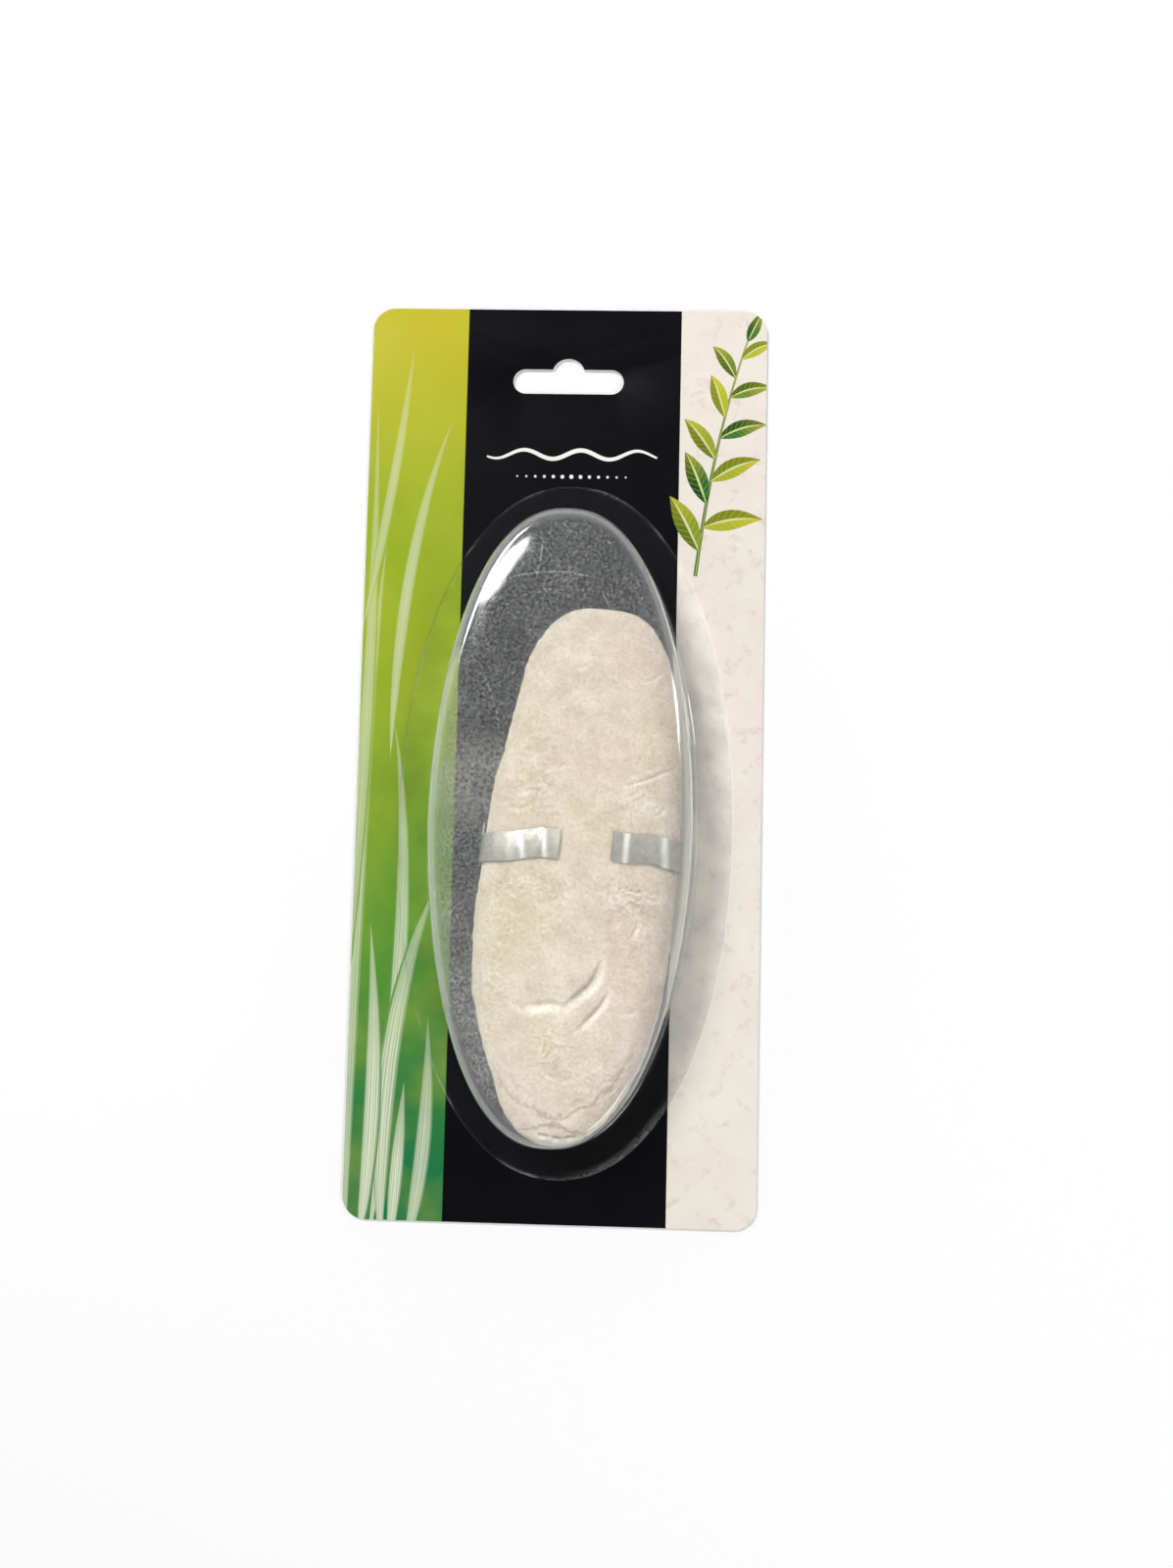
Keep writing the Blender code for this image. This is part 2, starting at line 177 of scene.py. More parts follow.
def from_line(places, points):
    """How far each place is from a line, above 0 on its left, and the share of its length at
    which it is nearest."""
    points = np.asarray(points, float)
    lengths = np.linalg.norm(np.diff(points, axis=0), axis=1)
    before = np.concatenate([[0.0], np.cumsum(lengths)])
    best = np.full(len(places), np.inf)
    along = np.zeros(len(places))
    for start, end, length, passed in zip(points, points[1:], lengths, before):
        run = (end - start) / length
        offset = places - start
        reach = np.clip(offset @ run, 0, length)
        away = offset - reach[:, None] * run
        distance = np.linalg.norm(away, axis=1)
        side = np.where(run[0] * offset[:, 1] - run[1] * offset[:, 0] >= 0, 1, -1)
        nearer = distance < np.abs(best)
        best = np.where(nearer, side * distance, best)
        along = np.where(nearer, (passed + reach) / before[-1], along)
    return best, along


def make_piece(name, builder, finishes, smooth_angle=35):
    """An object in metres from a bmesh in millimetres."""
    bmesh.ops.recalc_face_normals(builder, faces=builder.faces)
    bmesh.ops.scale(builder, verts=builder.verts, vec=(MM, MM, MM))
    mesh = bpy.data.meshes.new(name)
    builder.to_mesh(mesh)
    builder.free()
    mesh.shade_smooth()
    mesh.set_sharp_from_angle(angle=math.radians(smooth_angle))
    for finish in finishes:
        mesh.materials.append(finish)
    piece = bpy.data.objects.new(name, mesh)
    bpy.context.collection.objects.link(piece)
    return piece


def printed_card(finishes):
    """The card as one closed mesh. Its print is cut into its front, and each corner of a printed
    face knows how far along and across its motif it lies."""
    inset = sum(outwards for outwards, drop in CUT_EDGE_STEPS if outwards > 0)
    motifs = printed_motifs()
    outlines = [card_outline(inset), slot_outline(inset)]
    outlines += [band_outline(spine, widths) for ink, spine, widths, tone in motifs]
    points, edges, faces = [], [], []
    for outline in outlines:
        faces.append(list(range(len(points), len(points) + len(outline))))
        points += [Vector(point) for point in outline]
    for ink, spine, widths, tone in motifs:
        edges += [(i, i + 1) for i in range(len(points), len(points) + len(spine) - 1)]
        points += [Vector(point) for point in spine]
    places, _, triangles, _, _, owners = delaunay_2d_cdt(points, edges, faces, 1, 0.0005)
    flat = np.array(places)

    builder = bmesh.new()
    ink_layer = builder.faces.layers.float.new("ink")
    at_layer = builder.loops.layers.float_vector.new("motif_at")
    corners = [builder.verts.new((x, y, CARD_THICKNESS)) for x, y in places]
    for triangle, owner in zip(triangles, owners):
        if 0 not in owner or 1 in owner:
            continue  # past the card's edge, or in the slot
        face = builder.faces.new([corners[i] for i in triangle])
        if max(owner) > 1:
            ink, spine, widths, tone = motifs[max(owner) - 2]
            face[ink_layer] = ink
            away, along = from_line(flat[triangle], spine)
            here = np.interp(along, np.linspace(0, 1, len(widths)), widths)
            for loop, a, share, half_width in zip(face.loops, away, along, here):
                loop[at_layer] = (share, min(max(a / half_width, -1.0), 1.0), tone)
    for corner in corners:
        if not corner.link_faces:
            builder.verts.remove(corner)

    rim = [edge for edge in builder.edges if edge.is_boundary]
    outward = {}
    for edge in rim:
        start, end = edge.verts
        away = (end.co - start.co).cross(Vector((0, 0, 1))).normalized()
        if away.dot(edge.link_faces[0].calc_center_median() - start.co) > 0:
            away.negate()
        for corner in edge.verts:
            outward[corner] = outward.get(corner, Vector()) + away
    level = {corner: corner for corner in outward}
    for outwards, drop in CUT_EDGE_STEPS:
        lower = {
            corner: builder.verts.new(
                level[corner].co + away.normalized() * outwards - Vector((0, 0, drop))
            )
            for corner, away in outward.items()
        }
        for edge in rim:
            start, end = edge.verts
            side = builder.faces.new((level[start], level[end], lower[end], lower[start]))
            side.material_index = 1
        level = lower
    back_edges = [builder.edges.get([level[corner] for corner in edge.verts]) for edge in rim]
    filled = bmesh.ops.triangle_fill(builder, use_beauty=True, edges=back_edges)["geom"]
    for face in filled:
        if isinstance(face, bmesh.types.BMFace):
            face.material_index = 1
    return make_piece("printed_card", builder, finishes)


def hex_colour(code):
    """An sRGB hex colour as linear red, green, blue and alpha."""
    shares = [int(code[i:i + 2], 16) / 255 for i in (1, 3, 5)]
    return [s / 12.92 if s <= 0.04045 else ((s + 0.055) / 1.055) ** 2.4 for s in shares] + [1.0]


CHOICE_OF = {"Math": "operation", "VectorMath": "operation", "MapRange": "interpolation_type",
             "Mix": "blend_type", "Attribute": "attribute_name"}


def add_node(tree, kind, inputs=(), **settings):
    """Adds a node with its settings, values and links. The kind may end in the node's main choice,
    such as its operation. The inputs go by name or in the order of the open sockets, and a link
    is given by the node or the output it comes from."""
    kind, _, choice = kind.partition(" ")
    node = tree.nodes.new("ShaderNode" + kind)
    if kind == "Mix":
        node.data_type = "RGBA"
    if choice:
        setattr(node, CHOICE_OF[kind], choice)
    for name, value in settings.items():
        setattr(node, name, value)
    sockets = [socket for socket in node.inputs if socket.enabled]
    for key, value in inputs.items() if isinstance(inputs, dict) else enumerate(inputs):
        socket = sockets[key] if isinstance(key, int) else next(s for s in sockets if s.name == key)
        if isinstance(value, bpy.types.Node):
            value = next(output for output in value.outputs if output.enabled)
        if isinstance(value, bpy.types.NodeSocket):
            tree.links.new(value, socket)
        else:
            socket.default_value = hex_colour(value) if isinstance(value, str) else value
    return node


def new_finish(name):
    """A bare material, the function that adds its nodes, and the place on the object in mm."""
    finish = bpy.data.materials.new(name)
    finish.use_nodes = True
    finish.node_tree.nodes.clear()
    node = functools.partial(add_node, finish.node_tree)
    return finish, node, node("VectorMath SCALE", (node("TexCoord").outputs["Object"], 1 / MM))


# The blister's two ovals, here for the darker tone and painted shade under the flange, for the powder
# caught under the dome, and for the painted shade over all the print there
FLANGE_CENTRE = (2.0, -20.15)
FLANGE_HALF_SIZE = (47.0, 97.6)
FLANGE_ROUNDNESS = (2.12, 2.12)  # powers of the oval along X and Y
DOME_CENTRE = (1.45, -20.05)
DOME_HALF_SIZE = (37.4, 88.15)
DOME_ROUNDNESS = (2.32, 1.90)
DOME_SWAY = 1.0  # how far the dome's lower end stands towards -X

# Offset print under a press varnish: flat saturated inks with a satin skin over the board's grain
print_finish, node, place = new_finish("varnished_offset_print")
across_card, up_card, _ = node("SeparateXYZ", (place,)).outputs

green = "#1C7446"
for low, high, tint in ((-128.0, -38.0, "#5F9636"), (-60.0, 40.0, "#97AD2A"), (60.0, 130.0, "#C4BA32")):
    share = node("MapRange SMOOTHSTEP", (up_card, low, high))
    green = node("Mix", (share, green, tint))
# A noise is given its place, its scale, its detail and its roughness
clouds = node("TexNoise", (place, 1 / 26.0, 3.0))
cloud_share = node("MapRange", (clouds, 0.42, 0.72, 0.0, 0.35))
green = node("Mix", (cloud_share, green, "#BCC342"))

# Reeds: pale ink with parallel veins, fading out at both sides of the blade
motif_at = node("Attribute motif_at").outputs["Vector"]
along, across, tone = node("SeparateXYZ", (motif_at,)).outputs
off_rib = node("Math ABSOLUTE", (across,))
blade = node("MapRange SMOOTHSTEP", (off_rib, 1.0, 0.55, 0.0, 1.0))
vein_wave = node("Math SINE", (node("Math MULTIPLY", (across, 6.5 * math.pi)),))
veins = node("MapRange", (vein_wave, -1.0, 1.0, 0.55))
rib = node("MapRange", (off_rib, 0.05, 0.16, 1.0, 0.0))
tips = node("MapRange", (along, 0.55, 1.0, 1.0, 0.45))
reed_tone = node("MapRange", (tone, 0.0, 1.0, 0.30, 0.80))
reed = node("Math MAXIMUM", (veins, rib))
for factor in (blade, tips, reed_tone):
    reed = node("Math MULTIPLY", (reed, factor))
green_with_reeds = node("Mix", (reed, green, "#EEF2D8"))

# Sprig: leaves from deep green to yellow, one half shaded, a pale midrib and slanting side veins
leaf = node("Mix", (tone, "#2F6B2C", "#B9B92E"))
leaf_tip = node("MapRange", (along, 0.4, 1.0, 0.0, 0.55))
leaf = node("Mix", (leaf_tip, leaf, "#D9C93C"))
shaded_half = node("Math GREATER_THAN", (across, 0.0))
leaf = node("Mix MULTIPLY", (shaded_half, leaf, "#B9C3A6"))
side_veins = node("Math MULTIPLY_ADD", (off_rib, -0.14, along))
side_veins = node("Math PINGPONG", (side_veins, 0.055))
side_veins = node("MapRange", (side_veins, 0.008, 0.0, 0.0, 0.45))
rib_share = node("Math MAXIMUM", (rib, side_veins))
leaf = node("Mix", (rib_share, leaf, "#DCE0A2"))

# Cream panel: a printed mottle like old plaster. Black band: a rich black with a trace of blue
mottle = node("TexNoise", (place, 1 / 15.0, 5.0, 0.6))
cream = node("Mix", (mottle, "#E2DACD", "#F3ECE1"))
flakes = node("TexNoise", {"Vector": place, "Scale": 1 / 5.0, "Detail": 7.0, "Roughness": 0.68,
                           "Distortion": 0.4})
flake_share = node("MapRange", (flakes, 0.54, 0.68, 0.0, 0.8))
plaster = node("Mix", (flake_share, cream, "#D6CDC0"))
black = node("Mix", (mottle, "#0B0B0E", "#131317"))
on_cream = node("Math GREATER_THAN", (across_card, BLACK_BAND_END))
on_green = node("Math LESS_THAN", (across_card, GREEN_PANEL_END))
ink = node("Attribute ink").outputs["Fac"]
colour = node("Mix", (on_cream, black, plaster))
colour = node("Mix", (on_green, colour, green))
reeds_here = node("Math MULTIPLY", (on_green, node("Math COMPARE", (ink, REED, 0.1))))
colour = node("Mix", (reeds_here, colour, green_with_reeds))
for kind, fill in ((LEAF, leaf), (WHITE_INK, "#F1F1EC")):
    here = node("Math COMPARE", (ink, kind, 0.1))
    colour = node("Mix", (here, colour, fill))

ovals = []
for centre, half_size, roundness in ((FLANGE_CENTRE, FLANGE_HALF_SIZE, FLANGE_ROUNDNESS),
                                     (DOME_CENTRE, DOME_HALF_SIZE, DOME_ROUNDNESS)):
    shares = []
    for axis, middle, half, power in zip((across_card, up_card), centre, half_size, roundness):
        share = node("Math MULTIPLY_ADD", (axis, 1 / half, -middle / half))
        share = node("Math ABSOLUTE", (share,))
        shares.append(node("Math POWER", (share, power)))
    total = node("Math ADD", shares)
    ovals.append(node("Math LESS_THAN", (total, 1.0)))
in_flange, in_dome = ovals

# Under the flange the print is darker and cooler: partly the heat sealing wetting the board through the
# sheet, partly painted shade of the sheet over it
seal_and_shade = node("Math SUBTRACT", (in_flange, in_dome))
blots = node("TexNoise", (place, 1 / 9.0, 4.0))
seal_and_shade_share = node("MapRange", (blots, 0.3, 0.6, 0.55))
seal_and_shade_share = node("Math MULTIPLY", (seal_and_shade, seal_and_shade_share))
colour = node("Mix MULTIPLY", (seal_and_shade_share, colour, "#DAD7DD"))

# Bone powder on the card under the dome, thickest left of the clip and low on the left. Its specks
# of 0.1 to 0.3 mm are too fine to see one by one, and are drawn about 0.6 mm across
SPILLS = (  # middle, reach, how much of it is full, and strength
    ((-22.0, -8.0), 18.0, 4.0, 0.68),
    ((-24.0, -72.0), 48.0, 15.0, 0.30),
)
specks = node("TexVoronoi", (place, 1 / 1.3))
speck = node("MapRange", (specks, 0.34, 0.16, 0.0, 0.8))
drifts = node("TexNoise", (place, 1 / 7.0, 5.0, 0.65))
drift = node("MapRange", (drifts, 0.40, 0.68, 0.0, 0.7))
spill = 0.0
for middle, reach, full, strength in SPILLS:
    way = node("VectorMath DISTANCE", (place, (*middle, CARD_THICKNESS)))
    here = node("MapRange SMOOTHSTEP", (way, reach, full, 0.0, strength))
    spill = node("Math MAXIMUM", (spill, here))
crumbs = node("TexNoise", (place, 1 / 0.9, 3.0, 0.75))
crumb = node("MapRange", (crumbs, 0.38, 0.62, 0.06))
film = node("Math MULTIPLY", (spill, crumb))
powder = node("Math MULTIPLY_ADD", (speck, drift, film))
powder = node("Math MULTIPLY", (powder, in_dome), use_clamp=True)
colour = node("Mix", (powder, colour, "#D9D3C6"))

# Painted shade: the whole print under the dome is darkened, for the shade cast by the bone and the dome's
# walls
colour = node("Mix MULTIPLY", (in_dome, colour, "#D3D1CF"))

# Board fibres under the varnish: soft ripples about 1 mm long and some micrometres high
grain = node("TexNoise", (place, 1 / 1.2, 4.0))
relief = node("Bump", {"Height": grain, "Distance": 0.012 * MM, "Strength": 0.8})
varnish = node("MapRange", (mottle, 0.0, 1.0, 0.34, 0.46))
print_skin = node("BsdfPrincipled", {"Base Color": colour, "Roughness": varnish, "Normal": relief,
                                     "IOR": 1.5, "Specular IOR Level": 0.05})
node("OutputMaterial", (print_skin,))

# Bare folding board: grey-white and matt, with darker fibres a few millimetres long
board_finish, node, place = new_finish("uncoated_board")
stretched = node("Mapping", {"Vector": place, "Scale": (1.0, 0.22, 1.0)})
fibres = node("TexNoise", {"Vector": stretched, "Scale": 1 / 0.45, "Detail": 5.0, "Distortion": 0.8})
fleck = node("MapRange", (fibres, 0.6, 0.72, 0.0, 0.55))
wash = node("TexNoise", (place, 1 / 18.0, 4.0))
pulp = node("Mix", (wash, "#DAD7CF", "#ECEAE4"))
flecked = node("Mix", (fleck, pulp, "#A9A59B"))
relief = node("Bump", {"Height": fibres, "Distance": 0.02 * MM})
paper = node("BsdfPrincipled", {"Base Color": flecked, "Roughness": 0.85, "Normal": relief,
                                "IOR": 1.45})
node("OutputMaterial", (paper,))

card = printed_card((print_finish, board_finish))
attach(card, "root")
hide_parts("backing_card")

# Cuttlebone
# The chalky inner shell of a cuttlefish: thin plates of aragonite behind a hard thin shield,
# grown as one piece. It lies on its shield, and its soft face has been scraped and dented.
BONE_WIDEST_AT = (5.7, -45.0)
BONE_LEAN = math.radians(4.7)
BONE_HALF_WIDTH = 26.9
BROAD_END = 85.3
NARROW_END = 61.2
FACE_HEIGHT = 9.3
BACK_DEPTH = 8.0
NARROW_END_RISE = 6.5
NARROW_END_BOW = 0.9  # how far the middle of that half bows towards +X
# The left edge's stray from its plain curve: place along the bone and offset towards +X
LEFT_EDGE = (
    (-54, 0), (-45, 1), (-38, 0.2), (-30, -0.6), (-22, -1.3), (-8, -0.7),
    (8, 0), (34, 0.2), (44, 1.3), (60, 1.2), (70, 0),
)
EDGE_ROUNDING = 0.9
FACE_ROUNDING = 0.8
BROAD_TAPER = (2.6, 1 / 3)
NARROW_TAPER = (2.0, 0.47)
THICKNESS_TAPER = (2.5, 1 / 2)
EDGE_LEVEL = CARD_THICKNESS + 0.3 + 0.5 + 0.35 + BACK_DEPTH  # gap, strip and its clearance below
NARROW_ROWS, BROAD_ROWS = 185, 222
FACE_STEPS, BACK_STEPS = 176, 56
NARROW_BIAS, BROAD_BIAS, FACE_BIAS = 0.5, 0.6, 0.25

# Layers of unevenness, each with its spacing, its height and the shift of its noise
LUMPS = ((14.0, 0.5, 0.0), (6.0, 0.35, 0.0))
BUMPS = ((2.6, 0.16, 0.0), (1.1, 0.06, 0.0))
JAGS = ((2.6, 0.9, 200.0), (1.1, 0.45, 230.0))  # of the growth lines' course
CHIPS = ((3.4, 0.45, 10.0), (1.2, 0.22, 30.0))  # along the rim
EDGE_CALM = 6  # power by which relief dies away at the edge
WARP_SPACING, WRINKLE_SPACING, PORE_SPACING = 5.0, 2.1, 0.75
CRACK_SPACING, CRACK_PATCH_SPACING, CRACK_WIDTH = 4.6, 3.6, 0.10
PLATE_SPACING, PLATE_HEIGHT = 1.7, 0.022
RIM_REACH = 2.2
GRAIN_SPACING, GRAIN_HEIGHT = 0.9, 0.07
ARC_SPACING, ARC_HEIGHT = 3.4, 0.04
CLIP_BED = (17.5, 6.5, 3.0)  # middle, half width and blend of the band pressed smooth by the clip
# Scrapes in the soft face: their line from the widest place, half width, depth and the strength of the
# painted shade along the cut's steep side. Each line runs with the steep side of the cut on its right and
# the long slope on its left
SCRAPES = (
    ([(7.5, -12.2), (6.6, -14.9), (5.2, -17.6), (2.5, -20.4), (-0.8, -23.4)], 1.35, 1.35, 1),
    ([(10.3, -19.2), (8.9, -22.2), (6.8, -25.2), (3.4, -29.3)], 0.90, 1.10, 1),
    ([(-0.6, -23.2), (-5, -23.4), (-11.2, -24.9)], 1.15, 1.05, 0.25),
    ([(11.5, -15.6), (9, -18.9), (5.6, -21.8)], 0.50, 0.22, 1),
    ([(-2.7, 69), (-4.6, 67.8), (-6.6, 67.2)], 0.45, 0.45, 1),
    ([(17.6, 69.1), (14.6, 66.2), (12, 65.2)], 0.50, 0.40, 1),
    ([(23.2, 42.8), (20.4, 41.3), (17, 39.3), (13.4, 37.6), (10.6, 36.4)], 0.50, 0.60, 1),
    ([(20, 43.6), (15, 40.9), (9.8, 38.6)], 0.60, 0.26, 1),
    ([(22.3, 32.1), (20.4, 30), (18.2, 28.8)], 0.45, 0.40, 1),
    ([(-13.6, 29.1), (-17.8, 27.7), (-21.6, 27.4)], 0.60, 0.35, 1),
    ([(-11.5, 32.4), (-14.2, 32.9), (-18.9, 31.6)], 0.50, 0.28, 1),
    ([(17.9, -23.2), (14.9, -24.1)], 0.75, 0.55, 1),
    ([(17.3, 0.2), (16.2, -2.6), (15.3, -4.8)], 0.70, 0.50, 1),
    ([(19.4, -0.4), (17.9, -3.2)], 0.50, 0.30, 1),
    ([(20.2, 9.6), (17.6, 8.5), (15.6, 8), (13.4, 8.4)], 0.40, 0.50, 1),
    ([(18.6, 7), (15.8, 7.4)], 0.40, 0.30, 1),
    ([(-1.2, -42.6), (-3.4, -41.8)], 0.60, 0.55, 1),
    ([(3, -42.2), (0.2, -43.6)], 0.55, 0.50, 1),
    ([(-0.6, -58), (-3.4, -57.8)], 0.70, 1.60, 1.6),
    ([(2.6, -58.3), (0.4, -58.1)], 0.75, 2.00, 1.8),
    ([(6.4, -57.4), (3.6, -58)], 0.65, 1.70, 1.4),
)
SCRAPE_SIDES = (0.45, 1.7)  # how far the steep side and the slope reach, in half widths
# Growth lines across the narrow end, each a step down towards it
GROWTH_STEPS = (
    ([(-19, -41), (-15.4, -46.9), (-8.6, -50.5), (0.6, -53.4), (9.1, -49), (15, -42), (19.1, -32)], 0.60),
    ([(-9, -57.5), (-4.1, -56.2), (0.5, -54.8), (5.4, -56.1), (9, -57)], 1.00),
    ([(-17, -41.5), (-10.5, -46.0), (-5.0, -48.4)], 0.22),
    ([(4.0, -49.6), (9.0, -45.6), (12.0, -42.0)], 0.32),
)
STEP_FOOT = (0.40, 1.4)  # reach of a step's cliff and of the slope below it
# Places where the plates have crumbled into wrinkles: middle, reach and height
CRUMBLED = (
    ((-13, 9.5), (11, 7), 0.75),
    ((15, 8), (10, 7), 0.90),
    ((-15, 33), (8, 13), 0.55),
    ((15, 32), (8, 7), 0.60),
    ((18, -9), (7, 14), 0.36),
    ((-3, -36), (5, 9), 0.65),
    ((11, -43), (8, 6), 0.48),
    ((-20, -16), (5, 20), 0.50),
    ((2, 50), (14, 22), 0.18),
    ((0, -12), (20, 24), 0.17),
)
YELLOW_PATCHES = (
    ((-3.5, -33), (4.5, 10), 1),
    ((-12, 3), (9, 10), 0.8),
    ((17, 50), (5, 13), 0.55),
    ((-18, 52), (5, 22), 0.5),
    ((-20, -18), (7, 34), 0.7),
    ((-14, -8), (6, 8), 0.6),
    ((2, 24), (20, 9), 0.4),
)
PINK_PATCHES = (
    ((9, 70), (9, 8), 0.9),
    ((2, 42), (11, 8), 0.7),
    ((15, -14), (8, 22), 1),
    ((-4, -46), (15, 9), 0.9),
    ((-14, 24), (9, 5), 0.5),
)


def along_bone(y):
    """How far y is from the widest place, as a share of the way to that end."""
    return np.where(y > 0, y / BROAD_END, -y / NARROW_END)


def taper(y, powers):
    """A share that falls from 1 at the widest place to 0 at both ends."""
    return (1 - np.minimum(along_bone(y), 1.0) ** powers[0]) ** powers[1]


def bone_half_width(y):
    """Half the bone's width: a blunt broad end and an oval narrow end."""
    return BONE_HALF_WIDTH * np.where(y > 0, taper(y, BROAD_TAPER), taper(y, NARROW_TAPER))


def edge_level(y):
    """The height of the bone's edge, which rises to the narrow end."""
    return EDGE_LEVEL + NARROW_END_RISE * np.where(y < 0, along_bone(y), 0.0) ** 2


def edge_stray(x, y):
    """How far each place moves towards +X, all of the left edge's stray at that edge."""
    stray = np.zeros(len(y))
    for (low, before), (high, after) in zip(LEFT_EDGE, LEFT_EDGE[1:]):
        share = (1 - np.cos(math.pi * (y - low) / (high - low))) / 2
        stray = np.where((y >= low) & (y < high), before + (after - before) * share, stray)
    return stray * np.maximum(-x, 0) / bone_half_width(y)


def bone_surface(y, turn, lift=0.0):
    """Points on the plain bone, turn in degrees: 0 at the +X edge, 90 on the face, 270 on
    the back. lift stands them off the surface."""
    c, s = np.cos(np.radians(turn)), np.sin(np.radians(turn))
    half_width = bone_half_width(y) + lift
    reach = np.where(s > 0, FACE_HEIGHT, BACK_DEPTH) * taper(y, THICKNESS_TAPER) + lift
    x = half_width * np.sign(c) * np.abs(c) ** EDGE_ROUNDING
    z = edge_level(y) + reach * np.sign(s) * np.abs(s) ** FACE_ROUNDING
    return np.stack(np.broadcast_arrays(x, y, z), -1)


def spread(share, bias):
    """A share from -1 to 1, moved out so that even shares end up closer at both ends."""
    return (1 - bias) * share + bias * np.sin(share * math.pi / 2)


def face_turn(x_share):
    """The turn at which the face lies at a share of the half width, from -1 to 1."""
    return np.degrees(np.arccos(np.sign(x_share) * np.abs(x_share) ** (1 / EDGE_ROUNDING)))


def noise_field(places, spacing, shift):
    """Smooth noise from about -1 to 1 with lumps one spacing apart."""
    return np.array([noise.noise(Vector(place) / spacing + Vector((shift, 0, 0))) for place in places])


def noise_layers(places, layers):
    """The sum of layers of noise."""
    return sum(height * noise_field(places, spacing, shift) for spacing, height, shift in layers)


def patches(x, y, table):
    """The sum of soft-edged patches, each full at its centre and gone past its reach."""
    return sum(
        full * np.exp(-((x - centre[0]) / reach[0]) ** 2 - ((y - centre[1]) / reach[1]) ** 2)
        for centre, reach, full in table
    )


def add_rings(builder, points, capped=False):
    """Rows of points as a skin of quads, each row a closed ring, with a flat cap at both ends or
    none."""
    rings = [[builder.verts.new(point) for point in row] for row in points]
    for ring, after in zip(rings, rings[1:]):
        for i, here in enumerate(ring):
            j = (i + 1) % len(ring)
            builder.faces.new((here, ring[j], after[j], after[i]))
    if capped:
        builder.faces.new(rings[0])
        builder.faces.new(rings[-1])
    return rings


def close_tip(builder, ring, point):
    """Closes a ring with a fan on one point."""
    tip = builder.verts.new(point)
    for i, here in enumerate(ring):
        builder.faces.new((here, ring[(i + 1) % len(ring)], tip))


def bone_in_place(piece):
    """Turns and moves a piece made in the bone's frame to where the bone lies on the card."""
    move = Matrix.Translation((BONE_WIDEST_AT[0] * MM, BONE_WIDEST_AT[1] * MM, 0))
    piece.data.transform(move @ Matrix.Rotation(-BONE_LEAN, 4, "Z"))


